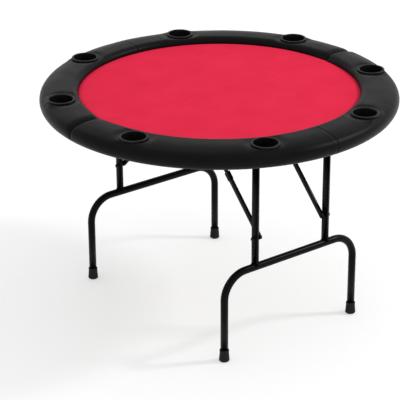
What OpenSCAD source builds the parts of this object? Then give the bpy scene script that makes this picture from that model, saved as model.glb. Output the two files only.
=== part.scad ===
// Round folding poker table with a padded rail, eight cup holders and two folding leg frames.
// Lengths are in millimetres and angles in degrees.
// The origin is on the floor under the middle of the top. +X runs along the fold seam,
// +Y points to the back half and +Z is up. Each side is modelled at +Y; the front is its mirror.

/* [Top] */
// Outside diameter of the padded rail
table_d = 1180; // [1176:1:1200]
// Height of the cup rims above the floor
table_h = 776; // [760:1:800]
// Radius of the felt playing surface
felt_r = 464; // [460:1:466]
// Thickness of the felt layer
felt_t = 3; // [2:0.5:4]
// Thickness of the board under the felt
board_t = 16; // [15:1:18]
// Gap between the two halves of the board
seam_gap = 1; // [0.5:0.5:2]

/* [Rail] */
// Inside radius of the wooden core ring
core_inner_r = 446; // [444:1:450]
// Outside radius of the wooden core ring
core_outer_r = 575; // [572:1:576]
// Thickness of the wooden core ring
core_t = 20; // [18:1:22]
// Thickness of the leather cover
cover_t = 1.5; // [1:0.25:2]
// Gap between the two halves of the padded rail
pad_gap = 3; // [2:0.5:6]

/* [Cup holders] */
// Number of cup holders round the rail, an even number
cup_count = 8; // [8]
// Radius of the circle that the cup holders stand on
cup_circle_r = 527; // [524:1:530]
// Outside diameter of the ring flange
cup_flange_d = 89; // [88:1:96]
// Outside diameter of the cup just under the flange
cup_d = 81; // [76:1:82]
// Wall thickness of the cup
cup_wall = 2; // [1.5:0.25:3]

/* [Leg frames] */
// Distance of each leg frame's plane from the seam
frame_y = 375; // [370:1:378]
// Outside diameter of the leg tube
leg_d = 25; // [24:0.5:26]
// Outside diameter of the uprights
upright_d = 24; // [23:0.2:24]
// Wall thickness of the tubes
tube_wall = 1.5; // [1:0.1:2]
// Distance of each leg from the middle
leg_x = 271; // [260:1:276]
// Distance of each upright from the middle
upright_x = 147; // [147:0.2:149]
// Height of the crossbar's centre line
crossbar_z = 299; // [280:1:310]
// Centre-line radius of the bends
bend_r = 84; // [60:1:90]
// Height of the rubber foot caps
foot_h = 41; // [36:1:46]

/* [Braces] */
// Distance of the brace anchors from the seam
anchor_y = 50; // [49:1:52]
// Distance from the pivot tube down to the brace bolts
brace_drop = 302; // [300:1:304]
// Width of the channel that is the lower link
channel_w = 16; // [16:0.5:17]
// Width of the flat upper link
strip_w = 14.6; // [12:0.2:14.6]
// Length of the lock ring
ring_len = 28; // [24:1:30]

/* [Hidden] */
$fn = 64;
SIDES = ["front", "back"];
SIDE_PARTS = [
    "board", "felt", "rail_core", "rail_foam", "rail_cover", "hinge_leaves",
    "pivot_brackets", "brace_anchors", "anchor_pins",
    "leg_loop", "upright_left", "upright_right", "pivot_tube", "foot_left", "foot_right",
    "brace_bolts", "brace_strip_left", "brace_strip_right", "knee_pins",
    "brace_channel_left", "brace_channel_right", "lock_ring_left", "lock_ring_right"
];

// heights of the layers of the top
felt_top = table_h - 19;
board_top = felt_top - felt_t;
board_bot = board_top - board_t;
core_bot = board_bot - core_t;
pad_top = table_h - 1;
flange_bot = table_h - 5;
pivot_z = table_h - 75;

// section of the padded rail: an outer shoulder, a crown and a rolled inner nose
rail_r = table_d / 2;
shoulder_r = 29;
shoulder_c = [rail_r - shoulder_r, table_h - 35];
nose_r = 18;
wall_r = felt_r + 0.3;
nose_c = [wall_r + nose_r, pad_top - nose_r];
crown_r = 515;

// running clearance of a pin in its hole, measured on the radius
run_gap = 0.06;
slip_gap = 0.3;

leg_r = leg_d / 2;
upright_r = upright_d / 2;
foot_floor = 4;
foot_top_r = leg_r + 2;
foot_bottom_r = leg_r + 5;
foot_edge_r = 5;

// pivot tube and the brackets that it turns in
tube_half_len = upright_x + 18.5;
journal_r = 8;
journal_bore_r = 5;
journal_end = tube_half_len + 8.5;
plug_len = 15;
ear_x = tube_half_len + 0.5;
ear_t = 4;
ear_r = 14;
flange_t = 4;

// knee brace: straight when the legs stand, folded back beside itself when they lie flat
pin_r = 3;
pin_head_r = 5;
anchor_z = board_bot - 14;
brace_run = frame_y - anchor_y;
brace_rise = anchor_z - pivot_z + brace_drop;
brace_len = norm([brace_run, brace_rise]);
brace_tilt = atan2(brace_rise, brace_run);
upper_extra = 22.4;
upper_len = (brace_len + upper_extra) / 2;

// the links stand side by side with the uprights; the channel's web is on their +Z side
channel_t = 8.2;
channel_wall = 1.3;
channel_out = upright_x - upright_r - 0.6;
channel_in = channel_out - channel_t;
channel_shift = 1.2;
strip_t = 5;
strip_in = channel_in + (channel_t - strip_t) / 2;
strip_out = strip_in + strip_t;
ring_wall = 2;
ring_gap = 0.3;
ring_offset = 4;
anchor_ear_t = 4;
anchor_ear_r = 9;
anchor_ear_out = strip_in - 0.4;
anchor_ear_in = anchor_ear_out - anchor_ear_t;
bolt_r = 3;
bolt_head_r = 6.5;
bolt_stop = channel_out + 0.2;

// seam hinges
hinge_xs = [-300, 300];
hinge_len = 70;
hinge_leaf_w = 34;
hinge_leaf_t = 2.5;
knuckle_count = 5;
knuckle_len = hinge_len / knuckle_count;
knuckle_r = 4.5;
hinge_pin_r = 2.5;
hinge_z = board_bot - 5;

// wood screws: x, y and the thickness of what each one clamps to the board
screw_r = 1.6;
screw_bite = 9;
screw_head_r = 3.6;
screw_head_h = 1.8;
screw_circle_r = (core_inner_r + felt_r) / 2;
screw_spots = concat(
    [for (sx = [-1, 1]) for (dy = [-12, 12]) [sx * (ear_x + 20), frame_y + dy, flange_t]],
    [for (sx = [-1, 1]) for (dy = [-12, 12]) [sx * (anchor_ear_in - 16), anchor_y + dy, flange_t]],
    [for (hx = hinge_xs) for (dx = [-22, 22]) [hx + dx, hinge_leaf_w - 12, hinge_leaf_t]],
    [for (a = [15:30:165]) [screw_circle_r * cos(a), screw_circle_r * sin(a), core_t]]
);

// points of an arc of radius r about the centre c
function arc(c, r, from, to, steps) =
    [for (i = [0:steps]) let (a = from + (to - from) * i / steps) c + r * [cos(a), sin(a)]];

// direction of cup holder k, counted from +X
function cup_angle(k) = 360 / cup_count * (k - 0.5);

// the rail's section, drawn inset by the given amount
function rail_outline(inset) = concat(
    [[core_outer_r, core_bot + inset]],
    arc(shoulder_c, shoulder_r - inset, -52, 80, 11),
    [[crown_r, pad_top - inset]],
    arc(nose_c, nose_r - inset, 90, 180, 9),
    [[wall_r + inset, board_bot], [core_outer_r, board_bot]]
);

module on_side(side) {
    if (side == "front") mirror([0, 1, 0]) children();
    else children();
}

// draws its children once on each side of the middle plane
module left_and_right() {
    children();
    mirror([1, 0, 0]) children();
}

module on_hand(hand) {
    if (hand == "left") mirror([1, 0, 0]) children();
    else children();
}

// keeps the part of its children at y of half the gap or more
module half_of_top(gap) {
    difference() {
        children();
        translate([-rail_r - 1, -rail_r - 1, -1]) cube([table_d + 2, rail_r + 1 + gap / 2, table_h + 2]);
    }
}

module at_cups(side_only) {
    for (k = [1:side_only ? cup_count / 2 : cup_count])
        rotate([0, 0, cup_angle(k)]) translate([cup_circle_r, 0, 0]) children();
}

module x_rod(r, x0, x1) {
    translate([x0, 0, 0]) rotate([0, 90, 0]) cylinder(r = r, h = x1 - x0);
}

// a flat outline in Y and Z, given thickness along X from x0 to x1
module x_plate(x0, x1) {
    translate([x0, 0, 0]) rotate([90, 0, 90]) linear_extrude(height = x1 - x0) children();
}

module screw_shanks() {
    for (s = screw_spots)
        translate([s[0], s[1], board_bot - s[2]]) cylinder(r = screw_r, h = s[2] + screw_bite, $fn = 24);
}

// ---- top ----

module board() {
    color("burlywood") difference() {
        half_of_top(seam_gap) translate([0, 0, board_bot]) cylinder(r = felt_r, h = board_t, $fn = 180);
        screw_shanks();
    }
}

module felt() {
    color("crimson")
        half_of_top(seam_gap) translate([0, 0, board_top]) cylinder(r = felt_r, h = felt_t, $fn = 180);
}

module rail_core() {
    color("burlywood") difference() {
        half_of_top(seam_gap) translate([0, 0, core_bot]) difference() {
            cylinder(r = core_outer_r, h = core_t, $fn = 180);
            translate([0, 0, -1]) cylinder(r = core_inner_r, h = core_t + 2, $fn = 180);
        }
        at_cups(true) translate([0, 0, core_bot - 1]) cylinder(r = cup_d / 2 + slip_gap, h = core_t + 2);
        screw_shanks();
    }
}

// half ring of the padded rail, with the wells that the cup holders sit in
module padded_half_ring(inset, gap) {
    difference() {
        half_of_top(gap) rotate_extrude($fn = 180) polygon(rail_outline(inset));
        at_cups(true) {
            translate([0, 0, core_bot - 1]) cylinder(r = cup_d / 2 + slip_gap, h = table_h - core_bot);
            translate([0, 0, flange_bot]) cylinder(r = cup_flange_d / 2 + slip_gap, h = 10);
        }
    }
}

module rail_foam() {
    color("khaki") padded_half_ring(cover_t, pad_gap + 2 * cover_t);
}

module rail_cover() {
    color([0.1, 0.1, 0.11]) difference() {
        padded_half_ring(0, pad_gap);
        half_of_top(pad_gap + 2 * cover_t) rotate_extrude($fn = 180) polygon(rail_outline(cover_t));
    }
}

// a tapered cup with a floor and a raised ring flange with a rounded brim
module cup_holder(k) {
    cup_r = cup_d / 2;
    floor_r = cup_r - 3;
    brim_r = 2;
    flange_r = cup_flange_d / 2;
    outline = concat(
        [[0, core_bot], [floor_r, core_bot], [cup_r, flange_bot], [flange_r, flange_bot]],
        arc([flange_r - brim_r, table_h - brim_r], brim_r, 0, 90, 4),
        arc([cup_r - cup_wall + brim_r, table_h - brim_r], brim_r, 90, 180, 4),
        [[floor_r - cup_wall, core_bot + cup_wall], [0, core_bot + cup_wall]]
    );
    color([0.13, 0.13, 0.14]) rotate([0, 0, cup_angle(k)]) translate([cup_circle_r, 0, 0])
        rotate_extrude($fn = 96) polygon(outline);
}

// ---- fold hinges under the seam ----

// leaf k of a hinge owns every second knuckle, starting at knuckle 0 or 1
module hinge_leaf(first) {
    difference() {
        union() {
            translate([-hinge_len / 2, knuckle_r + 0.5, board_bot - hinge_leaf_t])
                cube([hinge_len, hinge_leaf_w - knuckle_r - 0.5, hinge_leaf_t]);
            for (i = [first:2:knuckle_count - 1]) translate([i * knuckle_len - hinge_len / 2 + 0.1, 0, 0]) {
                translate([0, 0, hinge_z]) x_rod(knuckle_r, 0, knuckle_len - 0.2);
                translate([0, 0, board_bot - hinge_leaf_t])
                    cube([knuckle_len - 0.2, knuckle_r + 1, hinge_leaf_t - 1]);
            }
        }
        translate([0, 0, hinge_z]) x_rod(hinge_pin_r + run_gap, -hinge_len, hinge_len);
    }
}

module hinge_leaves(first) {
    color("silver") difference() {
        for (hx = hinge_xs) translate([hx, 0, 0]) hinge_leaf(first);
        screw_shanks();
    }
}

module hinge_pins() {
    color("gray") for (hx = hinge_xs)
        translate([hx, 0, hinge_z]) x_rod(hinge_pin_r, -hinge_len / 2, hinge_len / 2);
}

module screws_of_side() {
    screw_shanks();
    for (s = screw_spots)
        translate([s[0], s[1], board_bot - s[2] - screw_head_h])
            cylinder(r1 = screw_head_r - 0.8, r2 = screw_head_r, h = screw_head_h, $fn = 24);
}

module underside_screws() {
    color("silver") {
        screws_of_side();
        mirror([0, 1, 0]) screws_of_side();
    }
}

// ---- brackets under the board ----

module pivot_brackets() {
    color([0.12, 0.12, 0.13]) difference() {
        left_and_right() {
            difference() {
                x_plate(ear_x, ear_x + ear_t) translate([frame_y, pivot_z]) {
                    circle(r = ear_r);
                    translate([-ear_r, 0]) square([2 * ear_r, board_bot - flange_t - pivot_z + 0.5]);
                }
                translate([0, frame_y, pivot_z]) x_rod(journal_r + run_gap, ear_x - 1, ear_x + ear_t + 1);
            }
            translate([ear_x, frame_y - 20, board_bot - flange_t]) cube([30, 40, flange_t]);
        }
        screw_shanks();
    }
}

module brace_anchors() {
    color([0.12, 0.12, 0.13]) difference() {
        left_and_right() {
            difference() {
                x_plate(anchor_ear_in, anchor_ear_out) translate([anchor_y, anchor_z]) {
                    circle(r = anchor_ear_r);
                    translate([-anchor_ear_r, 0])
                        square([2 * anchor_ear_r, board_bot - flange_t - anchor_z + 0.5]);
                }
                translate([0, anchor_y, anchor_z]) x_rod(pin_r, anchor_ear_in - 1, anchor_ear_out + 1);
            }
            translate([anchor_ear_out - 28, anchor_y - 18, board_bot - flange_t]) cube([28, 36, flange_t]);
        }
        screw_shanks();
    }
}

module anchor_pins() {
    color("silver") left_and_right() translate([0, anchor_y, anchor_z]) {
        x_rod(pin_r, anchor_ear_in - 2, strip_out + 1.2);
        x_rod(pin_head_r, anchor_ear_in - 2, anchor_ear_in);
        x_rod(pin_head_r, strip_out + 0.1, strip_out + 1.2);
    }
}

// ---- leg frame ----

// the bent tube of one leg frame: two legs, two bends and the crossbar between them
module loop_path(r) {
    bend_x = leg_x - bend_r;
    bend_z = crossbar_z - bend_r;
    translate([0, frame_y, 0]) {
        left_and_right() {
            translate([leg_x, 0, foot_floor]) cylinder(r = r, h = bend_z - foot_floor);
            translate([bend_x, 0, bend_z]) rotate([90, 0, 0])
                rotate_extrude(angle = 90) translate([bend_r, 0]) circle(r = r);
        }
        translate([0, 0, crossbar_z]) x_rod(r, -bend_x, bend_x);
    }
}

module leg_loop() {
    color([0.09, 0.09, 0.1]) difference() {
        loop_path(leg_r);
        loop_path(leg_r - tube_wall);
        translate([0, frame_y, foot_floor - 1]) left_and_right()
            translate([leg_x, 0, 0]) cylinder(r = leg_r - tube_wall, h = 5);
    }
}

// an upright whose ends are cut to sit round the crossbar and the pivot tube
module upright(hand) {
    color([0.09, 0.09, 0.1]) on_hand(hand) difference() {
        translate([upright_x, frame_y, crossbar_z]) difference() {
            cylinder(r = upright_r, h = pivot_z - crossbar_z);
            translate([0, 0, -1]) cylinder(r = upright_r - tube_wall, h = pivot_z - crossbar_z + 2);
        }
        translate([0, frame_y, crossbar_z]) x_rod(leg_r, upright_x - 30, upright_x + 30);
        translate([0, frame_y, pivot_z]) x_rod(leg_r, upright_x - 30, upright_x + 30);
        translate([0, frame_y, pivot_z - brace_drop]) x_rod(bolt_r, upright_x - 30, upright_x + 30);
    }
}

module pivot_tube() {
    color([0.09, 0.09, 0.1]) translate([0, frame_y, pivot_z]) difference() {
        union() {
            x_rod(leg_r, -tube_half_len, tube_half_len);
            x_rod(journal_r, -journal_end, journal_end);
        }
        x_rod(leg_r - tube_wall, plug_len - tube_half_len, tube_half_len - plug_len);
        x_rod(journal_bore_r, -journal_end - 1, journal_end + 1);
    }
}

module foot(hand) {
    socket_h = foot_h - foot_floor;
    outline = concat(
        [[0, 0], [foot_bottom_r - foot_edge_r, 0]],
        arc([foot_bottom_r - foot_edge_r, foot_edge_r], foot_edge_r, -72, 0, 4),
        arc([foot_top_r - 1.5, foot_h - 1.5], 1.5, 0, 90, 3),
        [[leg_r, foot_h], [leg_r, foot_h - socket_h], [0, foot_h - socket_h]]
    );
    color([0.2, 0.2, 0.2]) on_hand(hand)
        translate([leg_x, frame_y, 0]) rotate_extrude() polygon(outline);
}

// bolts through the uprights, whose head and inner spacer sit on the round tube
module brace_bolts() {
    outer_face = upright_x + upright_r;
    inner_face = upright_x - upright_r;
    color([0.15, 0.15, 0.16]) left_and_right() translate([0, frame_y, pivot_z - brace_drop]) {
        x_rod(bolt_r, bolt_stop, outer_face + 3);
        difference() {
            union() {
                x_rod(bolt_head_r, outer_face - 2, outer_face + 4);
                x_rod(bolt_head_r - 1, bolt_stop, inner_face + 2);
            }
            translate([upright_x, 0, -bolt_head_r - 1]) cylinder(r = upright_r, h = 2 * bolt_head_r + 2);
        }
    }
}

// ---- knee braces ----

// local frame of a brace: +Y runs from the anchor pin down to the brace bolt
module along_brace() {
    translate([0, anchor_y, anchor_z]) rotate([-brace_tilt, 0, 0]) children();
}

// a flat bar outline with round ends, from y0 to y1
module bar_outline(y0, y1, half_w) {
    translate([y0, 0]) circle(r = half_w);
    translate([y1, 0]) circle(r = half_w);
    translate([y0, -half_w]) square([y1 - y0, 2 * half_w]);
}

module brace_strip(hand) {
    color([0.1, 0.1, 0.11]) on_hand(hand) along_brace() difference() {
        x_plate(strip_in, strip_out) bar_outline(0, upper_len, strip_w / 2);
        x_rod(pin_r + run_gap, strip_in - 1, strip_out + 1);
        translate([0, upper_len, 0]) x_rod(pin_r, strip_in - 1, strip_out + 1);
    }
}

module knee_pins() {
    color("silver") left_and_right() along_brace() translate([0, upper_len, 0])
        x_rod(pin_r, channel_in, channel_out);
}

// a channel that the flat link folds into, with a rivet at its bolt end
module brace_channel(hand) {
    half_w = channel_w / 2;
    web_z = half_w + channel_shift - channel_wall;
    color([0.1, 0.1, 0.11]) on_hand(hand) along_brace() {
        difference() {
            x_plate(channel_in, channel_out) translate([0, channel_shift])
                bar_outline(upper_len, brace_len, half_w);
            translate([channel_in + channel_wall, upper_len - channel_w, web_z - 2 * channel_w])
                cube([channel_t - 2 * channel_wall, brace_len - upper_len + 2 * channel_w, 2 * channel_w]);
            translate([0, upper_len, 0]) x_rod(pin_r + run_gap, channel_in - 1, channel_out + 1);
        }
        translate([0, brace_len, 0]) {
            x_rod(bolt_r, channel_in, channel_out);
            x_rod(pin_head_r, channel_in - 1.5, channel_in);
        }
    }
}

module rounded_box_outline(x0, x1, half_h, r) {
    translate([x0 + r, -half_h]) square([x1 - x0 - 2 * r, 2 * half_h]);
    translate([x0, r - half_h]) square([x1 - x0, 2 * (half_h - r)]);
    for (x = [x0 + r, x1 - r]) for (y = [r - half_h, half_h - r]) translate([x, y]) circle(r = r);
}

// a collar round both links at the knee, which slides up the flat one
module lock_ring(hand) {
    x0 = channel_in - ring_gap;
    x1 = channel_out + ring_gap;
    low = -max(strip_w / 2, channel_w / 2 - channel_shift) - ring_gap;
    high = channel_w / 2 + channel_shift + ring_gap;
    half_h = (high - low) / 2;
    color([0.1, 0.1, 0.11]) on_hand(hand) along_brace()
        translate([0, upper_len - ring_offset + ring_len / 2, (low + high) / 2]) rotate([90, 0, 0])
            linear_extrude(height = ring_len) difference() {
                rounded_box_outline(x0 - ring_wall, x1 + ring_wall, half_h + ring_wall, 3.5);
                rounded_box_outline(x0, x1, half_h, 1);
            }
}

for (side = SIDES) {
    on_side(side) board();
    on_side(side) felt();
    on_side(side) rail_core();
    on_side(side) rail_foam();
    on_side(side) rail_cover();
    on_side(side) hinge_leaves(side == "front" ? 0 : 1);
    on_side(side) pivot_brackets();
    on_side(side) brace_anchors();
    on_side(side) anchor_pins();
    on_side(side) leg_loop();
    on_side(side) pivot_tube();
    on_side(side) brace_bolts();
    on_side(side) knee_pins();
    for (hand = ["left", "right"]) {
        on_side(side) upright(hand);
        on_side(side) foot(hand);
        on_side(side) brace_strip(hand);
        on_side(side) brace_channel(hand);
        on_side(side) lock_ring(hand);
    }
}
for (k = [1:cup_count])
    cup_holder(k);
hinge_pins();
underside_screws();
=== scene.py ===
"""Looks of the round folding poker table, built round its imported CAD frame.

Lengths are in metres. The rail's two halves, the felt, the cup holders, the feet and the fasteners are
remodelled here; the tubes, links and brackets stay as the CAD made them, with bevelled edges.
The rail's leather is modelled at +Y, the back, and mirrored for the front.
"""
import math

import bmesh
import bpy
from mathutils import Matrix, Vector, noise


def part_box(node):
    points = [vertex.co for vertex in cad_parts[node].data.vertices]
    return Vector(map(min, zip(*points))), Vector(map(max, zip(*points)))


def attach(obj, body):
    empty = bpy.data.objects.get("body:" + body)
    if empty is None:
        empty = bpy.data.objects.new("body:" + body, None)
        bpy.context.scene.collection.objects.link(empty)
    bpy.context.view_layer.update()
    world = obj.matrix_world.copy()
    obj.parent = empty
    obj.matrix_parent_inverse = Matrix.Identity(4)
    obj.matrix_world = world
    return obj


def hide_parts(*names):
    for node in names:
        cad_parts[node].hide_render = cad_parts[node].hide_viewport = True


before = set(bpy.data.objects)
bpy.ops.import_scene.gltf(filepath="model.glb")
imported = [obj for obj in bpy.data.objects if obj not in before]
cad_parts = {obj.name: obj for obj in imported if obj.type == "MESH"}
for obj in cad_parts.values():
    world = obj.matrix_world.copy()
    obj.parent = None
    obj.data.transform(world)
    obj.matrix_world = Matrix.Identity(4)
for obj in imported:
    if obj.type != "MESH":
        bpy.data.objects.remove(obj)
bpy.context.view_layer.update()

MM = 0.001
SIDES = {"front": -1, "back": 1}
HANDS = {"left": -1, "right": 1}

# places and sizes that the frame gives
RAIL_LO, RAIL_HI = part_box("back_rail_cover")
FELT_LO, FELT_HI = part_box("back_felt")
CUP_LO, CUP_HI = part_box("cup_holder_1")
RAIL_R = RAIL_HI.x
CORE_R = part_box("back_rail_core")[1].x
FELT_R = FELT_HI.x
FELT_TOP = FELT_HI.z
BOARD_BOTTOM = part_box("back_board")[0].z
RAIL_BOTTOM = RAIL_LO.z
RIM_Z = CUP_HI.z
PAD_GAP = RAIL_LO.y
FELT_GAP = FELT_LO.y
CUP_COUNT = 8

# the pad's crown and the cup holders' brims, which stand a little proud of the CAD's
CROWN_Z = RIM_Z + 2 * MM
BRIM_Z = RIM_Z + 2.5 * MM
FLANGE_R = (CUP_HI.x - CUP_LO.x) / 2 + 1.2 * MM
FLANGE_Z = BRIM_Z - 5 * MM
CUP_R = FLANGE_R - 5.2 * MM


def box_centre(node):
    lo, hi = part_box(node)
    return (lo + hi) / 2


CUPS = [box_centre(f"cup_holder_{k}") for k in range(1, CUP_COUNT + 1)]


# ---------------------------------------------------------------- materials

class Shader:
    """A node material being built: a Principled shader and short calls that add nodes to it."""

    def __init__(self, name, colour, roughness, **sockets):
        self.material = bpy.data.materials.new(name)
        self.material.use_nodes = True
        self.tree = self.material.node_tree
        self.bsdf = self.tree.nodes["Principled BSDF"]
        self.set("Base Color", (*colour, 1.0))
        self.set("Roughness", roughness)
        for socket, value in sockets.items():
            self.set(socket.replace("_", " "), value)
        self.place = self.node("ShaderNodeTexCoord").outputs["Object"]

    def set(self, socket, value):
        self.bsdf.inputs[socket].default_value = value

    def node(self, kind, **inputs):
        made = self.tree.nodes.new(kind)
        for socket, value in inputs.items():
            self.feed(made.inputs[socket.replace("_", " ")], value)
        return made

    def feed(self, socket, value):
        if isinstance(value, bpy.types.NodeSocket):
            self.tree.links.new(value, socket)
        else:
            socket.default_value = value

    def stretched(self, scale):
        return self.node("ShaderNodeMapping", Vector=self.place, Scale=scale).outputs["Vector"]

    def grain(self, scale, detail=3.0, roughness=0.55, place=None):
        made = self.node("ShaderNodeTexNoise", Vector=place or self.place, Scale=scale, Detail=detail,
                         Roughness=roughness)
        return made.outputs["Fac"]

    def cells(self, scale, feature="F1", smooth=0.0):
        made = self.node("ShaderNodeTexVoronoi", Vector=self.place, Scale=scale)
        made.feature = feature
        if feature == "SMOOTH_F1":
            made.inputs["Smoothness"].default_value = smooth
        return made.outputs["Distance"]

    def math(self, operation, a, b=0.0):
        made = self.tree.nodes.new("ShaderNodeMath")
        made.operation = operation
        self.feed(made.inputs[0], a)
        self.feed(made.inputs[1], b)
        return made.outputs[0]

    def steps(self, value, stops):
        """A colour ramp over value: stops is a list of (position, colour)."""
        made = self.node("ShaderNodeValToRGB", Fac=value)
        ramp = made.color_ramp
        while len(ramp.elements) < len(stops):
            ramp.elements.new(0.5)
        for element, (position, colour) in zip(ramp.elements, stops):
            element.position = position
            element.color = (*colour, 1.0)
        return made.outputs["Color"]

    def range(self, value, low, high, start=0.0, end=1.0):
        made = self.node("ShaderNodeMapRange", Value=value, From_Min=start, From_Max=end, To_Min=low,
                         To_Max=high)
        return made.outputs["Result"]

    def bump(self, *layers):
        """Each layer is (height socket, depth in metres)."""
        normal = None
        for height, depth in layers:
            made = self.node("ShaderNodeBump", Height=height, Strength=1.0, Distance=depth)
            if normal is not None:
                self.tree.links.new(normal, made.inputs["Normal"])
            normal = made.outputs["Normal"]
        self.tree.links.new(normal, self.bsdf.inputs["Normal"])

    def drive(self, socket, value):
        self.tree.links.new(value, self.bsdf.inputs[socket])


def felt_cloth():
    s = Shader("felt_cloth", (0.67, 0.014, 0.05), 0.92, Sheen_Weight=0.03, Sheen_Roughness=0.5)
    s.set("Specular IOR Level", 0.08)
    s.set("Sheen Tint", (1.0, 0.55, 0.6, 1.0))
    axes = s.node("ShaderNodeSeparateXYZ", Vector=s.place)
    pitch = 2 * math.pi / (1.1 * MM)
    warp = s.math("SINE", s.math("MULTIPLY", axes.outputs["X"], pitch))
    weft = s.math("SINE", s.math("MULTIPLY", axes.outputs["Y"], pitch))
    weave = s.range(s.math("MULTIPLY", warp, weft), 0.0, 1.0, -1.0, 1.0)
    fibres = s.grain(1500.0, 2.0)
    patches = s.grain(9.0, 4.0)
    tone = s.math("ADD", s.math("MULTIPLY", patches, 0.55),
                  s.math("ADD", s.math("MULTIPLY", weave, 0.15), s.math("MULTIPLY", fibres, 0.3)))
    s.drive("Base Color", s.steps(tone, [(0.25, (0.73, 0.014, 0.052)), (0.5, (0.80, 0.018, 0.064)),
                                         (0.75, (0.86, 0.025, 0.078))]))
    s.drive("Roughness", s.range(fibres, 0.86, 0.98))
    s.bump((weave, 0.10 * MM), (fibres, 0.08 * MM))
    return s.material


def rail_leather():
    s = Shader("rail_leather", (0.005, 0.005, 0.0052), 0.36)
    s.set("Specular IOR Level", 0.08)
    pebbles = s.cells(620.0, "SMOOTH_F1", 0.35)
    creases = s.cells(240.0, "DISTANCE_TO_EDGE")
    fine = s.grain(1400.0, 2.0)
    broad = s.grain(7.0, 3.0)
    s.drive("Base Color", s.steps(broad, [(0.3, (0.0020, 0.0020, 0.0022)), (0.7, (0.0040, 0.0040, 0.0043))]))
    s.drive("Roughness", s.math("ADD", s.range(broad, 0.30, 0.39, 0.3, 0.7), s.range(pebbles, 0.0, 0.06)))
    s.bump((creases, 0.10 * MM), (pebbles, 0.16 * MM), (fine, 0.03 * MM))
    return s.material


def cup_plastic():
    s = Shader("cup_plastic", (0.012, 0.012, 0.013), 0.34)
    s.set("Specular IOR Level", 0.13)
    fine = s.grain(2600.0, 2.0)
    marks = s.grain(60.0, 5.0, 0.65, s.stretched((1.0, 1.0, 0.25)))
    s.drive("Base Color", s.steps(marks, [(0.35, (0.004, 0.004, 0.0043)), (0.75, (0.008, 0.008, 0.0085))]))
    s.drive("Roughness", s.range(marks, 0.28, 0.42, 0.3, 0.75))
    s.bump((fine, 0.018 * MM))
    return s.material


def powder_coat(name="powder_coat", tone=0.0022, rough=(0.22, 0.33), shine=0.08):
    s = Shader(name, (tone, tone, tone * 1.08), rough[0])
    s.set("Specular IOR Level", shine)
    peel = s.grain(420.0, 2.0, 0.5)
    fine = s.grain(1800.0, 2.0)
    wear = s.grain(35.0, 6.0, 0.7)
    s.drive("Base Color", s.steps(wear, [(0.35, (tone * 0.8,) * 3), (0.6, (tone, tone, tone * 1.06)),
                                         (0.85, (tone * 1.7,) * 3)]))
    s.drive("Roughness", s.range(wear, rough[0], rough[1], 0.3, 0.75))
    s.bump((peel, 0.05 * MM), (fine, 0.02 * MM))
    return s.material


def moulded_rubber():
    s = Shader("moulded_rubber", (0.04, 0.04, 0.041), 0.72)
    s.set("Specular IOR Level", 0.15)
    dust = s.grain(90.0, 5.0, 0.65)
    fine = s.grain(1600.0, 2.0)
    height = s.node("ShaderNodeSeparateXYZ", Vector=s.place).outputs["Z"]
    low = s.range(height, 0.25, 0.0, 0.0, 20 * MM)
    s.drive("Base Color", s.steps(s.math("ADD", dust, low), [(0.35, (0.009, 0.009, 0.0095)),
                                                             (0.65, (0.015, 0.015, 0.015)),
                                                             (1.0, (0.040, 0.038, 0.036))]))
    s.drive("Roughness", s.range(dust, 0.62, 0.85, 0.3, 0.7))
    s.bump((fine, 0.05 * MM), (dust, 0.08 * MM))
    return s.material


def fibreboard():
    s = Shader("fibreboard", (0.24, 0.175, 0.12), 0.75)
    s.set("Specular IOR Level", 0.3)
    fibres = s.grain(900.0, 4.0, 0.7)
    streaks = s.grain(160.0, 3.0, 0.6, s.stretched((1.0, 0.25, 1.0)))
    broad = s.grain(5.0, 3.0)
    tone = s.math("ADD", s.math("MULTIPLY", fibres, 0.35),
                  s.math("ADD", s.math("MULTIPLY", streaks, 0.25), s.math("MULTIPLY", broad, 0.4)))
    s.drive("Base Color", s.steps(tone, [(0.3, (0.17, 0.12, 0.080)), (0.5, (0.24, 0.175, 0.120)),
                                         (0.72, (0.32, 0.24, 0.17))]))
    s.drive("Roughness", s.range(fibres, 0.66, 0.86))
    s.bump((fibres, 0.08 * MM))
    return s.material


def zinc_plate():
    s = Shader("zinc_plate", (0.60, 0.61, 0.62), 0.32, Metallic=1.0)
    brushed = s.grain(240.0, 4.0, 0.6, s.stretched((1.0, 8.0, 8.0)))
    blotches = s.grain(120.0, 4.0, 0.6)
    s.drive("Base Color", s.steps(blotches, [(0.3, (0.47, 0.48, 0.50)), (0.55, (0.61, 0.62, 0.63)),
                                             (0.8, (0.70, 0.68, 0.60))]))
    s.drive("Roughness", s.range(brushed, 0.24, 0.44, 0.25, 0.75))
    s.bump((brushed, 0.02 * MM))
    return s.material


def hem_cloth():
    """The black non-woven cloth that hides the raw edge of the leather under the rail."""
    s = Shader("hem_cloth", (0.02, 0.02, 0.021), 0.9)
    fibres = s.grain(700.0, 5.0, 0.75)
    dimples = s.cells(330.0)
    s.drive("Base Color", s.steps(fibres, [(0.3, (0.014, 0.014, 0.015)), (0.7, (0.032, 0.032, 0.034))]))
    s.drive("Roughness", s.range(fibres, 0.8, 0.97))
    s.bump((dimples, 0.12 * MM), (fibres, 0.08 * MM))
    return s.material


FELT = felt_cloth()
LEATHER = rail_leather()
PLASTIC = cup_plastic()
COAT = powder_coat()
BOLT = powder_coat("blackened_steel", 0.006, (0.22, 0.34), 0.25)
BRACKET = powder_coat("bracket_paint", 0.012, (0.34, 0.46), 0.3)
RUBBER = moulded_rubber()
WOOD = fibreboard()
ZINC = zinc_plate()
HEM = hem_cloth()


# ---------------------------------------------------------------- mesh helpers

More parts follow.
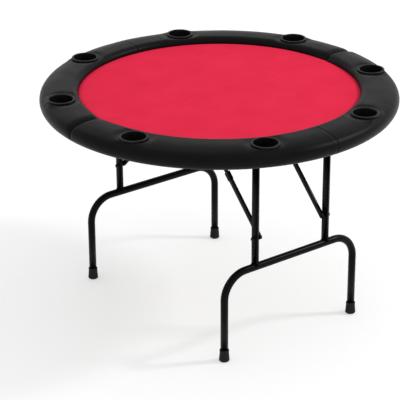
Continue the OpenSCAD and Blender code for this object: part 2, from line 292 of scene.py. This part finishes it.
def add_piece(name, vertices, faces, material, body, replaced=(), smooth_angle=40.0):
    """Makes a mesh object of the object being built, smooth but for edges sharper than smooth_angle."""
    mesh = bpy.data.meshes.new(name)
    mesh.from_pydata([tuple(v) for v in vertices], [], faces)
    mesh.validate()
    obj = bpy.data.objects.new(name, mesh)
    bpy.context.scene.collection.objects.link(obj)
    return finish_piece(obj, material, body, replaced, smooth_angle)


def finish_piece(obj, material, body, replaced=(), smooth_angle=40.0):
    shaped = bmesh.new()
    shaped.from_mesh(obj.data)
    bmesh.ops.remove_doubles(shaped, verts=shaped.verts, dist=1e-6)
    bmesh.ops.recalc_face_normals(shaped, faces=shaped.faces)
    shaped.to_mesh(obj.data)
    shaped.free()
    shade(obj, smooth_angle)
    obj.data.materials.clear()
    obj.data.materials.append(material)
    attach(obj, body)
    if replaced:
        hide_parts(*replaced)
    return obj


def shade(obj, angle):
    obj.data.shade_smooth()
    obj.data.set_sharp_from_angle(angle=math.radians(angle))


def loop_faces(rings, size, closed_rings=False):
    """Quads between successive closed rings of points, each ring with the same size."""
    faces = []
    for i in range(rings if closed_rings else rings - 1):
        a, b = i * size, (i + 1) % rings * size
        for j in range(size):
            k = (j + 1) % size
            faces.append((a + j, a + k, b + k, b + j))
    return faces


def lathe(outline, centre, steps):
    """Turns (radius, height) points about a vertical axis. Points on the axis close the ends."""
    vertices, rows = [], []
    for r, z in outline:
        if r < 1e-7:
            rows.append([len(vertices)])
            vertices.append(Vector((centre[0], centre[1], centre[2] + z)))
            continue
        rows.append(list(range(len(vertices), len(vertices) + steps)))
        for i in range(steps):
            a = 2 * math.pi * i / steps
            vertices.append(Vector((centre[0] + r * math.cos(a), centre[1] + r * math.sin(a), centre[2] + z)))
    faces = []
    for upper, lower in zip(rows, rows[1:]):
        for i in range(steps):
            k = (i + 1) % steps
            corners = [upper[i % len(upper)], upper[k % len(upper)],
                       lower[k % len(lower)], lower[i % len(lower)]]
            face = list(dict.fromkeys(corners))
            if len(face) > 2:
                faces.append(tuple(face))
    return vertices, faces


def arc(centre, radius, start, end, steps):
    """Points (r, z) along an arc, angles in degrees."""
    points = []
    for i in range(steps + 1):
        a = math.radians(start + (end - start) * i / steps)
        points.append((centre[0] + radius * math.cos(a), centre[1] + radius * math.sin(a)))
    return points


def ease(t):
    """A smooth step from 0 to 1 as t goes from 0 to 1."""
    t = min(1.0, max(0.0, t))
    return t * t * (3 - 2 * t)


# ---------------------------------------------------------------- padded rail

# the section: a round shoulder, a rise to the crown, an elliptic nose over the felt, and the wall under it
SHOULDER_R = 29 * MM
SHOULDER_Z = RIM_Z - 35 * MM
SHOULDER_START, SHOULDER_END = -52, 70
CROWN_OUT = 510 * MM
WALL_R = FELT_R + 0.3 * MM
NOSE_IN = FELT_R - 2.6 * MM
NOSE_W = 24.5 * MM
NOSE_H = 20 * MM
HIDDEN_GAP = 0.3 * MM

# how far from the seam each half starts to sink, and how far its crown sinks
ENDS = {"front": (15 * MM, 13 * MM), "back": (32 * MM, 18 * MM)}

# how far the inner corner of each end is drawn back and down, fading along the rail
CORNER_REACH = 120 * MM
CORNER_BACK = 7 * MM
CORNER_DROP = 2.5 * MM

# the rail's middle line, the stretch over which its sections turn radial, and the cup holders' wells
RAIL_MID = (RAIL_R + FELT_R) / 2
RADIAL_FROM = 90 * MM
WELL_R = CUP_R + 0.9 * MM
BACK_CUPS = CUPS[:CUP_COUNT // 2]


def rail_section():
    """The rail's closed outline, as (radius, height), from the core's lower corner round the outside."""
    shoulder = (RAIL_R - SHOULDER_R, SHOULDER_Z)
    outer = arc(shoulder, SHOULDER_R, SHOULDER_START, SHOULDER_END, 19)
    start = outer[-1]
    slope = (CROWN_OUT - start[0]) * -math.tan(math.radians(90 - SHOULDER_END))
    rise = []
    steps = 18
    for i in range(1, steps + 1):
        t = i / steps
        ends = (2 * t ** 3 - 3 * t ** 2 + 1) * start[1] + (3 * t ** 2 - 2 * t ** 3) * CROWN_Z
        rise.append((start[0] + (CROWN_OUT - start[0]) * t, ends + (t ** 3 - 2 * t ** 2 + t) * slope))
    nose = []
    steps = 16
    for i in range(steps + 1):
        a = math.pi / 2 * (1 + i / steps)
        nose.append((NOSE_IN + NOSE_W * (1 + math.cos(a)), CROWN_Z - NOSE_H * (1 - math.sin(a))))
    inside = [(WALL_R, FELT_TOP + HIDDEN_GAP), (WALL_R, BOARD_BOTTOM + HIDDEN_GAP),
              (CORE_R + HIDDEN_GAP, BOARD_BOTTOM + HIDDEN_GAP)]
    hidden = [(CORE_R + HIDDEN_GAP, RAIL_BOTTOM)]
    return hidden + outer + rise + nose + inside


def column_places():
    """Where the rail's cross-sections stand: their distance from the seam plane at mid-rail, and the side."""
    near = [0.0, 0.4, 0.9, 1.6, 2.5, 3.6, 5.0, 6.7, 8.8, 11.4, 14.6, 18.4, 22.8, 27.8, 33.2]
    angles = [math.asin((PAD_GAP + d * MM) / RAIL_MID) for d in near]
    start = angles[-1]
    count = 330
    middle = [start + (math.pi - 2 * start) * i / count for i in range(1, count)]
    return angles + middle + [math.pi - a for a in reversed(angles)]


def rail_point(radius, height, angle):
    """Places a section point: sections stand parallel to the seam near it, and radial further away."""
    at_mid = RAIL_MID * math.sin(angle)
    spread = ease(at_mid / RADIAL_FROM)
    y = at_mid * (1 + (radius / RAIL_MID - 1) * spread)
    x = math.sqrt(max(radius * radius - y * y, 0.0))
    return Vector((x if angle < math.pi / 2 else -x, y, height))


def round_the_end(radius, height, distance, reach, sink):
    """Rounds a rail half's end: the section sinks towards the seam, more at the crown than at the nose."""
    left = max(1 - max(distance, 0.0) / reach, 0.0)
    fall = 1 - math.sqrt(max(1 - left * left, 0.0))
    tall = ease((height - BOARD_BOTTOM) / (CROWN_Z - BOARD_BOTTOM))
    across = ease((radius - FELT_R) / (60 * MM))
    drop = sink * (0.45 + 0.8 * across) * tall
    inner = ease((FELT_R + 40 * MM - radius) / (30 * MM)) * ease((height - FELT_TOP) / (12 * MM))
    tuck = inner * max(1 - distance / CORNER_REACH, 0.0) ** 2
    pull = 4.0 * MM * (radius - RAIL_MID) / (RAIL_R - RAIL_MID) * ease((height - RAIL_BOTTOM) / (20 * MM))
    return radius - pull * fall + CORNER_BACK * tuck, height - drop * fall - CORNER_DROP * tuck


def leather_shape(point, normal):
    """How far the leather stands off its smooth shape: slow waves, the sewn join and puckers at the cups."""
    offset = 0.45 * MM * noise.noise(point * 14.0) + 0.18 * MM * noise.noise(point * 45.0)
    upper = ease((point.z - FELT_TOP) / (10 * MM))
    along = abs(point.x)
    if along < 60 * MM and point.y > 0:
        groove = math.exp(-(along / (1.6 * MM)) ** 2)
        puff = math.exp(-((along - 7 * MM) / (5 * MM)) ** 2)
        fade = math.exp(-along / (16 * MM))
        ripple = math.cos(2 * math.pi * along / (9 * MM)) * fade
        offset += -1.8 * MM * groove + 0.5 * MM * puff + 0.35 * MM * ripple * upper
    for k, cup in enumerate(BACK_CUPS):
        away = math.hypot(point.x - cup.x, point.y - cup.y)
        if away < 90 * MM and normal.z > 0.2:
            fade = math.exp(-max(away - FLANGE_R, 0.0) / (9 * MM))
            turn = math.atan2(point.y - cup.y, point.x - cup.x)
            folds = 0.5 + 0.5 * math.cos(9 * turn + 1.7 * k + 1.5 * math.sin(2 * turn))
            offset += -0.55 * MM * folds * fade * upper
    return offset


def settle_at_cups(point):
    """Presses or lifts the top of the pad towards the underside of each cup holder's flange."""
    for cup in BACK_CUPS:
        away = math.hypot(point.x - cup.x, point.y - cup.y)
        change = FLANGE_Z - 0.2 * MM - point.z
        spread = (30 if change < 0 else 26) * MM
        near = ease((FLANGE_R + spread - away) / (spread + 1 * MM))
        top = ease((point.z - (FLANGE_Z - 10 * MM)) / (6 * MM))
        point.z += change * near * top
    return point


def cut_wells(obj):
    """Cuts the wells that the cup holders hang in."""
    tools = bpy.data.meshes.new("wells")
    cutter = bmesh.new()
    for cup in BACK_CUPS:
        bmesh.ops.create_cone(cutter, cap_ends=True, segments=64, radius1=WELL_R, radius2=WELL_R, depth=0.12,
                              matrix=Matrix.Translation((cup.x, cup.y, cup.z)))
    cutter.to_mesh(tools)
    cutter.free()
    tool = bpy.data.objects.new("wells", tools)
    bpy.context.scene.collection.objects.link(tool)
    modifier = obj.modifiers.new("wells", "BOOLEAN")
    modifier.operation = "DIFFERENCE"
    modifier.solver = "EXACT"
    modifier.object = tool
    bake_modifiers(obj)
    bpy.data.objects.remove(tool)


def bake_modifiers(obj):
    """Replaces an object's mesh with what its modifiers make of it."""
    graph = bpy.context.evaluated_depsgraph_get()
    made = bpy.data.meshes.new_from_object(obj.evaluated_get(graph))
    obj.modifiers.clear()
    obj.data = made


def rail_half_mesh(reach, sink):
    """A leather-covered half ring at the back, with rounded ends."""
    section = rail_section()
    size = len(section)
    angles = column_places()
    rings = []
    for angle in angles:
        distance = RAIL_MID * math.sin(angle) - PAD_GAP
        rings.append([rail_point(*round_the_end(r, z, distance, reach, sink), angle) for r, z in section])
    vertices = [p for ring in rings for p in ring]
    faces = loop_faces(len(rings), size)
    faces.append(tuple(range(size)))
    faces.append(tuple(range(len(vertices) - 1, len(vertices) - size - 1, -1)))
    mesh = bpy.data.meshes.new("rail_half")
    mesh.from_pydata([tuple(v) for v in vertices], [], faces)
    mesh.update()
    shaped = bmesh.new()
    shaped.from_mesh(mesh)
    bmesh.ops.recalc_face_normals(shaped, faces=shaped.faces)
    shaped.normal_update()
    moved = []
    for v in shaped.verts:
        on_cover = v.index % size not in (0, size - 3, size - 2, size - 1)
        seam_side = ease((v.co.y - PAD_GAP) / (4 * MM))
        offset = leather_shape(v.co, v.normal) * seam_side if on_cover else 0.0
        moved.append(settle_at_cups(v.co + v.normal * offset))
    for v, place in zip(shaped.verts, moved):
        v.co = place
    shaped.to_mesh(mesh)
    shaped.free()
    return mesh


def rail_covers():
    for side, sign in SIDES.items():
        obj = bpy.data.objects.new(f"rail_leather_{side}", rail_half_mesh(*ENDS[side]))
        bpy.context.scene.collection.objects.link(obj)
        cut_wells(obj)
        obj.data.transform(Matrix.Scale(sign, 4, (0, 1, 0)))
        finish_piece(obj, LEATHER, "top", (f"{side}_rail_cover", f"{side}_rail_foam"), 50.0)


# ---------------------------------------------------------------- felt

# the rim's dip under the rail, and the roll of the cut edge along the seam
RIM_DIP = 2.4 * MM
RIM_WIDTH = 13 * MM
SEAM_DIP = 1.3 * MM
SEAM_WIDTH = 2.4 * MM


def felt_half(side, sign):
    """A half disc of cloth over its board: its cut edge rolls down at the seam, its rim under the rail."""
    rows = [FELT_GAP, FELT_GAP + 0.5 * MM, FELT_GAP + 1.1 * MM, FELT_GAP + 2.0 * MM, FELT_GAP + 3.5 * MM]
    count, depth_count = 120, 60
    vertices, grid = [], []
    for row in range(len(rows) + depth_count):
        if row < len(rows):
            y = rows[row]
        else:
            t = (row - len(rows) + 1) / depth_count
            y = rows[-1] + (FELT_R * math.sin(t * math.pi / 2) - rows[-1])
        y = min(y, FELT_R - 0.05 * MM)
        half = math.sqrt(FELT_R ** 2 - y ** 2)
        roll = max(0.0, 1 - (y - FELT_GAP) / SEAM_WIDTH)
        seam_dip = SEAM_DIP * (1 - math.sqrt(max(1 - roll * roll, 0.0)))
        line = []
        for i in range(count + 1):
            x = half * math.sin(math.pi / 2 * (2 * i / count - 1))
            wave = 0.10 * MM * noise.noise(Vector((x * 6, y * 6, 3.0)))
            dip = max(seam_dip, RIM_DIP * ease((math.hypot(x, y) - FELT_R + RIM_WIDTH) / RIM_WIDTH))
            line.append(len(vertices))
            vertices.append(Vector((x, sign * y, FELT_TOP - dip - 0.15 * MM + wave)))
        grid.append(line)
    top_count = len(vertices)
    vertices += [Vector((v.x, v.y, FELT_LO.z)) for v in vertices]
    faces = []
    for a, b in zip(grid, grid[1:]):
        for i in range(count):
            faces.append((a[i], a[i + 1], b[i + 1], b[i]))
            faces.append(tuple(top_count + n for n in (b[i], b[i + 1], a[i + 1], a[i])))
    rim = grid[0] + [line[-1] for line in grid[1:]] + grid[-1][-2::-1] + [line[0] for line in grid[-2:0:-1]]
    for a, b in zip(rim, rim[1:] + rim[:1]):
        faces.append((a, top_count + a, top_count + b, b))
    piece = add_piece(f"felt_cloth_{side}", vertices, faces, FELT, "top", (f"{side}_felt",), 60.0)


# ---------------------------------------------------------------- cup holders

def cup_outline():
    """Half section of a cup holder, from the centre of its floor up the inside and down the outside."""
    top = BRIM_Z
    floor = CUP_LO.z
    inside = [(0.0, floor + 2.2 * MM), (20.5 * MM, floor + 2.2 * MM), (21.5 * MM, floor + 2.9 * MM),
              (23.5 * MM, floor + 2.9 * MM), (24.5 * MM, floor + 2.2 * MM)]
    fillet = arc((32.0 * MM, floor + 5.6 * MM), 3.4 * MM, -90, -4, 5)
    wall = [(36.1 * MM, floor + 18 * MM), (37.1 * MM, floor + 36 * MM), (38.0 * MM, top - 8 * MM)]
    throat = arc((40.6 * MM, top - 2.2 * MM), 2.2 * MM, 176, 96, 6)
    brim = arc((FLANGE_R - 2.4 * MM, top - 2.4 * MM), 2.4 * MM, 86, 4, 7)
    lip = [(FLANGE_R, FLANGE_Z + 0.15 * MM), (FLANGE_R - 0.3 * MM, FLANGE_Z - 0.1 * MM)]
    outside = [(CUP_R + 0.4 * MM, FLANGE_Z - 0.1 * MM), (CUP_R, FLANGE_Z - 3 * MM),
               (CUP_R - 2.2 * MM, floor + 2 * MM), (CUP_R - 3.3 * MM, floor + 0.4 * MM),
               (CUP_R - 4.3 * MM, floor), (0.0, floor)]
    return inside + fillet + wall + throat + brim + lip + outside


def cup_holders():
    outline = cup_outline()
    for k, centre in enumerate(CUPS, 1):
        vertices, faces = lathe(outline, (centre.x, centre.y, 0.0), 96)
        add_piece(f"cup_{k}", vertices, faces, PLASTIC, "top", (f"cup_holder_{k}",), 50.0)


# ---------------------------------------------------------------- feet

def rubber_feet():
    outline = [(0.0, 1.2 * MM), (6 * MM, 1.2 * MM), (7 * MM, 0.0), (12.0 * MM, 0.0)]
    outline += arc((12.2 * MM, 5.2 * MM), 5.2 * MM, -84, 0, 7)
    top_r, bottom_r, height = 14.5 * MM, 17.4 * MM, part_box("front_foot_left")[1].z
    for z in (9, 13, 17):
        width = bottom_r + (top_r - bottom_r) * z * MM / height
        outline += [(width, (z - 0.8) * MM), (width - 0.6 * MM, (z - 0.3) * MM),
                    (width - 0.6 * MM, (z + 0.3) * MM), (width, (z + 0.8) * MM)]
    outline += [(top_r + 0.4 * MM, height - 8 * MM), (top_r + 0.3 * MM, height - 7 * MM),
                (top_r + 0.9 * MM, height - 6 * MM), (top_r + 0.9 * MM, height - 2.2 * MM)]
    outline += arc((top_r - 0.9 * MM, height - 1.8 * MM), 1.8 * MM, 10, 90, 5)
    outline += [(12.55 * MM, height - 0.2 * MM), (12.55 * MM, height - 1.5 * MM), (12.4 * MM, 4 * MM),
                (0.0, 4 * MM)]
    for side in SIDES:
        for hand in HANDS:
            node = f"{side}_foot_{hand}"
            centre = box_centre(node)
            vertices, faces = lathe(outline, (centre.x, centre.y, 0.0), 64)
            add_piece(f"rubber_foot_{side}_{hand}", vertices, faces, RUBBER, f"leg_{side}",
                      (node,), 35.0)


# ---------------------------------------------------------------- welds and bolts

TUBE_R = 12.5 * MM
UPRIGHT_R = 12 * MM
NUT_X = 134.6 * MM


def weld_bead(name, body, centre, tube_r, run_r, upward):
    """A rippled bead where an upright of radius tube_r meets a tube of radius run_r along X."""
    steps, sides = 120, 10
    vertices = []
    for i in range(steps):
        a = 2 * math.pi * i / steps
        x, y = tube_r * math.cos(a), tube_r * math.sin(a)
        lift = math.sqrt(max(run_r ** 2 - y ** 2, (2.5 * MM) ** 2))
        outward = Vector((math.cos(a), math.sin(a), 0.0))
        uneven = noise.noise(Vector((a * 3, centre.x, centre.z)))
        ripple = 1 + 0.16 * math.cos(2 * math.pi * i / 5) + 0.10 * uneven
        for j in range(sides):
            b = 2 * math.pi * j / sides
            bead = 2.1 * MM * ripple
            point = Vector((x, y, upward * lift)) + outward * bead * math.cos(b)
            point.z += upward * bead * math.sin(b)
            vertices.append(centre + point)
    add_piece(name, vertices, loop_faces(steps, sides, True), COAT, body, (), 60.0)


def welds():
    for side in SIDES:
        crossbar_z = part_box(f"{side}_leg_loop")[1].z - TUBE_R
        pivot = box_centre(f"{side}_pivot_tube")
        for hand in HANDS:
            upright = box_centre(f"{side}_upright_{hand}")
            for place, z, upward in (("low", crossbar_z, 1), ("high", pivot.z, -1)):
                weld_bead(f"weld_{side}_{hand}_{place}", f"leg_{side}", Vector((upright.x, upright.y, z)),
                          UPRIGHT_R, TUBE_R, upward)


def along_x(vertices, centre, outward):
    """Lays a lathe about Z on its side, so that its top points along X away from the middle."""
    place = Matrix.Translation(centre) @ Matrix.Rotation(math.radians(90 * outward), 4, "Y")
    return [place @ v for v in vertices]


def hexagon(radius, z0, z1, chamfer):
    outline = [(0.0, z0), (radius * 0.9, z0), (radius, z0 + chamfer), (radius, z1 - chamfer),
               (radius * 0.9, z1), (0.0, z1)]
    return lathe(outline, (0, 0, 0), 6)


def joined(*parts):
    vertices, faces = [], []
    for v, f in parts:
        start = len(vertices)
        vertices += v
        faces += [tuple(start + n for n in face) for face in f]
    return vertices, faces


def brace_bolts():
    """A domed head and washer outside each upright, the shank through it, and a hexagon nut inside."""
    for side, sign in SIDES.items():
        lo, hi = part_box(f"{side}_brace_bolts")
        centre = (lo + hi) / 2
        head = hi.x - 4 * MM
        parts = []
        for hand, outward in HANDS.items():
            dome = lathe([(0, head + 4.6 * MM), (2.4 * MM, head + 4.5 * MM), (4.6 * MM, head + 3.6 * MM),
                          (6.0 * MM, head + 2.0 * MM), (6.2 * MM, head + 1.0 * MM), (0, head + 1.0 * MM)],
                         (0, 0, 0), 32)
            washer = lathe([(0, head + 1.1 * MM), (7.0 * MM, head + 1.1 * MM), (7.0 * MM, head - 0.6 * MM),
                            (0, head - 0.6 * MM)], (0, 0, 0), 32)
            shank = lathe([(0, head + 0.5 * MM), (2.9 * MM, head + 0.5 * MM), (2.9 * MM, NUT_X + 1 * MM),
                           (0, NUT_X + 1 * MM)], (0, 0, 0), 24)
            nut = hexagon(5.6 * MM, NUT_X, NUT_X + 2.4 * MM, 0.4 * MM)
            for vertices, faces in (dome, washer, shank, nut):
                parts.append((along_x(vertices, Vector((0, centre.y, centre.z)), outward), faces))
        vertices, faces = joined(*parts)
        add_piece(f"brace_bolt_set_{side}", vertices, faces, BOLT, f"leg_{side}",
                  (f"{side}_brace_bolts",), 35.0)


# ---------------------------------------------------------------- screws and hems under the top

def islands(obj):
    """The separate solids of a mesh, as lists of vertex places."""
    shaped = bmesh.new()
    shaped.from_mesh(obj.data)
    bmesh.ops.remove_doubles(shaped, verts=shaped.verts, dist=1e-6)
    left, found = set(shaped.verts), []
    while left:
        group, edge = set(), [min(left, key=lambda v: v.index)]
        while edge:
            v = edge.pop()
            if v in group:
                continue
            group.add(v)
            edge += [e.other_vert(v) for e in v.link_edges]
        left -= group
        found.append([v.co.copy() for v in group])
    shaped.free()
    return found


def screw_head(x, y, z, turn):
    """A pan head with a cross recess, seen from below."""
    radius, height, slot, depth = 3.6 * MM, 1.9 * MM, 0.42 * MM, 1.0 * MM
    steps = 48
    vertices, rows = [], []
    for share, drop in ((0.0, 1.0), (0.16, 1.0), (0.30, 0.99), (0.44, 0.96), (0.56, 0.92), (0.72, 0.82),
                        (0.88, 0.58), (0.97, 0.25), (1.0, 0.0)):
        row = []
        for i in range(steps if share else 1):
            a = 2 * math.pi * i / steps
            px, py = radius * share * math.cos(a), radius * share * math.sin(a)
            in_cross = min(abs(px), abs(py)) < slot and math.hypot(px, py) < 0.62 * radius
            sink = depth if in_cross else 0.0
            row.append(len(vertices))
            c, s = math.cos(turn), math.sin(turn)
            vertices.append(Vector((x + px * c - py * s, y + px * s + py * c, z - height * drop + sink)))
        rows.append(row)
    faces = []
    for inner, outer in zip(rows, rows[1:]):
        for i in range(steps):
            k = (i + 1) % steps
            face = list(dict.fromkeys([inner[i % len(inner)], inner[k % len(inner)], outer[k], outer[i]]))
            faces.append(tuple(face))
    faces.append(tuple(rows[-1]))
    return vertices, faces


def underside_screws():
    parts = []
    for k, points in enumerate(islands(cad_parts["underside_screws"])):
        low = min(p.z for p in points)
        x = sum(p.x for p in points) / len(points)
        y = sum(p.y for p in points) / len(points)
        parts.append(screw_head(x, y, low + 1.8 * MM, 0.7 * k))
    vertices, faces = joined(*parts)
    add_piece("wood_screw_heads", vertices, faces, ZINC, "top", ("underside_screws",), 30.0)


def rail_hem(side, sign):
    """The strip of cloth stapled under the core ring, over the leather's turned edge."""
    outer, width, thick = CORE_R + 3 * MM, 34 * MM, 0.7 * MM
    top = RAIL_BOTTOM
    section = [(outer, top), (outer + 0.5 * MM, top - thick * 0.4), (outer, top - thick),
               (outer - width / 2, top - thick * 1.15), (outer - width, top - thick), (outer - width, top)]
    count = 160
    vertices = []
    for i in range(count + 1):
        a = math.asin(PAD_GAP / outer) + (math.pi - 2 * math.asin(PAD_GAP / outer)) * i / count
        for r, z in section:
            wave = 0.8 * MM * noise.noise(Vector((a * 30, r * 20, 0))) if r < outer - width / 2 else 0.0
            vertices.append(Vector(((r + wave) * math.cos(a), sign * (r + wave) * math.sin(a), z)))
    size = len(section)
    faces = loop_faces(count + 1, size)
    faces += [tuple(range(size)), tuple(range(len(vertices) - 1, len(vertices) - size - 1, -1))]
    add_piece(f"rail_hem_{side}", vertices, faces, HEM, "top", (), 50.0)


def staples(side, sign):
    """Staples through the hem, one every few degrees."""
    ring, long, wire, proud = CORE_R - 22 * MM, 9 * MM, 0.6 * MM, 0.55 * MM
    count, first = 58, 3
    parts = []
    for i in range(count):
        a = math.radians(first + (180 - 2 * first) * i / (count - 1))
        lean = 0.25 * noise.noise(Vector((i * 1.7, sign, 0)))
        centre = Vector((ring * math.cos(a), sign * ring * math.sin(a), RAIL_BOTTOM - 0.7 * MM - proud / 2))
        made = bmesh.new()
        bmesh.ops.create_cube(made, size=1.0)
        bmesh.ops.scale(made, vec=(wire, long, proud), verts=made.verts)
        bmesh.ops.bevel(made, geom=made.edges[:], offset=0.15 * MM, segments=2, affect="EDGES")
        turn = Matrix.Translation(centre) @ Matrix.Rotation(sign * a + lean, 4, "Z")
        made.transform(turn)
        made.verts.index_update()
        faces = [tuple(v.index for v in f.verts) for f in made.faces]
        parts.append(([v.co.copy() for v in made.verts], faces))
        made.free()
    vertices, faces = joined(*parts)
    add_piece(f"hem_staples_{side}", vertices, faces, ZINC, "top", (), 30.0)


# ---------------------------------------------------------------- CAD nodes that stay

def dress(node, material, bevel=0.0, angle=35.0):
    """Gives a CAD node its finish, and softens its edges with a bevel that leaves its mesh alone."""
    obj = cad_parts[node]
    obj.data.materials.clear()
    obj.data.materials.append(material)
    weld = obj.modifiers.new("weld", "WELD")
    weld.merge_threshold = 1e-6
    if bevel:
        edges = obj.modifiers.new("edges", "BEVEL")
        edges.width = bevel
        edges.segments = 2
        edges.limit_method = "ANGLE"
        edges.angle_limit = math.radians(angle)
        edges.harden_normals = False
    smooth_by_angle(obj, angle)


def smooth_by_angle(obj, angle):
    for loop_normals in [a for a in obj.data.attributes if a.name == "custom_normal"]:
        obj.data.attributes.remove(loop_normals)
    shade(obj, angle)


def dress_cad_nodes():
    for side in SIDES:
        dress(f"{side}_board", WOOD)
        dress(f"{side}_rail_core", WOOD)
        dress(f"{side}_leg_loop", COAT)
        dress(f"{side}_pivot_tube", COAT)
        dress(f"{side}_pivot_brackets", BRACKET, 0.5 * MM)
        dress(f"{side}_brace_anchors", BRACKET, 0.5 * MM)
        dress(f"{side}_anchor_pins", ZINC, 0.3 * MM)
        dress(f"{side}_knee_pins", ZINC, 0.3 * MM)
        dress(f"{side}_hinge_leaves", ZINC, 0.3 * MM)
        for hand in HANDS:
            dress(f"{side}_upright_{hand}", COAT)
            dress(f"{side}_brace_strip_{hand}", COAT, 0.6 * MM)
            dress(f"{side}_brace_channel_{hand}", COAT, 0.4 * MM)
            dress(f"{side}_lock_ring_{hand}", COAT, 0.6 * MM)
    dress("hinge_pins", ZINC, 0.4 * MM)


# ---------------------------------------------------------------- studio

def studio_floor():
    mesh = bpy.data.meshes.new("studio_floor")
    reach = 30.0
    mesh.from_pydata([(-reach, -reach, 0), (reach, -reach, 0), (reach, reach, 0), (-reach, reach, 0)], [],
                     [(0, 1, 2, 3)])
    floor = bpy.data.objects.new("studio_floor", mesh)
    bpy.context.scene.collection.objects.link(floor)
    s = Shader("studio_floor", (0.652, 0.658, 0.662), 0.9)
    s.set("Specular IOR Level", 0.05)
    s.set("Emission Color", (1.0, 1.0, 1.0, 1.0))
    s.set("Emission Strength", 0.44)
    floor.data.materials.append(s.material)


def soft_light(name, toward, distance, size, power):
    """A square light at the given distance from the table top, in the given direction."""
    aim = Vector((0, 0, 0.7))
    data = bpy.data.lights.new(name, "AREA")
    data.shape = "SQUARE"
    data.size = size
    data.energy = power
    light = bpy.data.objects.new(name, data)
    light.location = aim + distance * Vector(toward).normalized()
    light.rotation_euler = (aim - light.location).to_track_quat("-Z", "Y").to_euler()
    bpy.context.scene.collection.objects.link(light)


def studio_lights():
    """Even white surroundings, and one key light from the right of the camera."""
    world = bpy.data.worlds.new("studio")
    world.use_nodes = True
    background = world.node_tree.nodes["Background"]
    background.inputs["Color"].default_value = (1.0, 1.0, 1.0, 1.0)
    background.inputs["Strength"].default_value = 0.78
    bpy.context.scene.world = world
    soft_light("key", (0.662, -0.431, 0.613), 6.0, 0.8, 118)


def studio_camera():
    """The picture's viewpoint: the line of sight's azimuth and elevation, and a slight tilt."""
    azimuth, elevation, tilt = math.radians(-37.237), math.radians(24.211), math.radians(-0.253)
    data = bpy.data.cameras.new("camera")
    data.lens = 158.99
    data.sensor_width = 36.0
    data.clip_end = 100.0
    camera = bpy.data.objects.new("camera", data)
    back = Vector((math.sin(azimuth) * math.cos(elevation), -math.cos(azimuth) * math.cos(elevation),
                   math.sin(elevation)))
    camera.rotation_mode = "QUATERNION"
    level = (-back).to_track_quat("-Z", "Y")
    camera.rotation_quaternion = level @ Matrix.Rotation(tilt, 4, "Z").to_quaternion()
    camera.location = (-3.3442, -4.2928, 2.8060)
    bpy.context.scene.collection.objects.link(camera)
    bpy.context.scene.camera = camera


studio_camera()
studio_floor()
studio_lights()
bpy.context.scene.view_settings.view_transform = "Standard"

rail_covers()
for side, sign in SIDES.items():
    felt_half(side, sign)
    rail_hem(side, sign)
    staples(side, sign)
cup_holders()
rubber_feet()
welds()
brace_bolts()
underside_screws()
dress_cad_nodes()
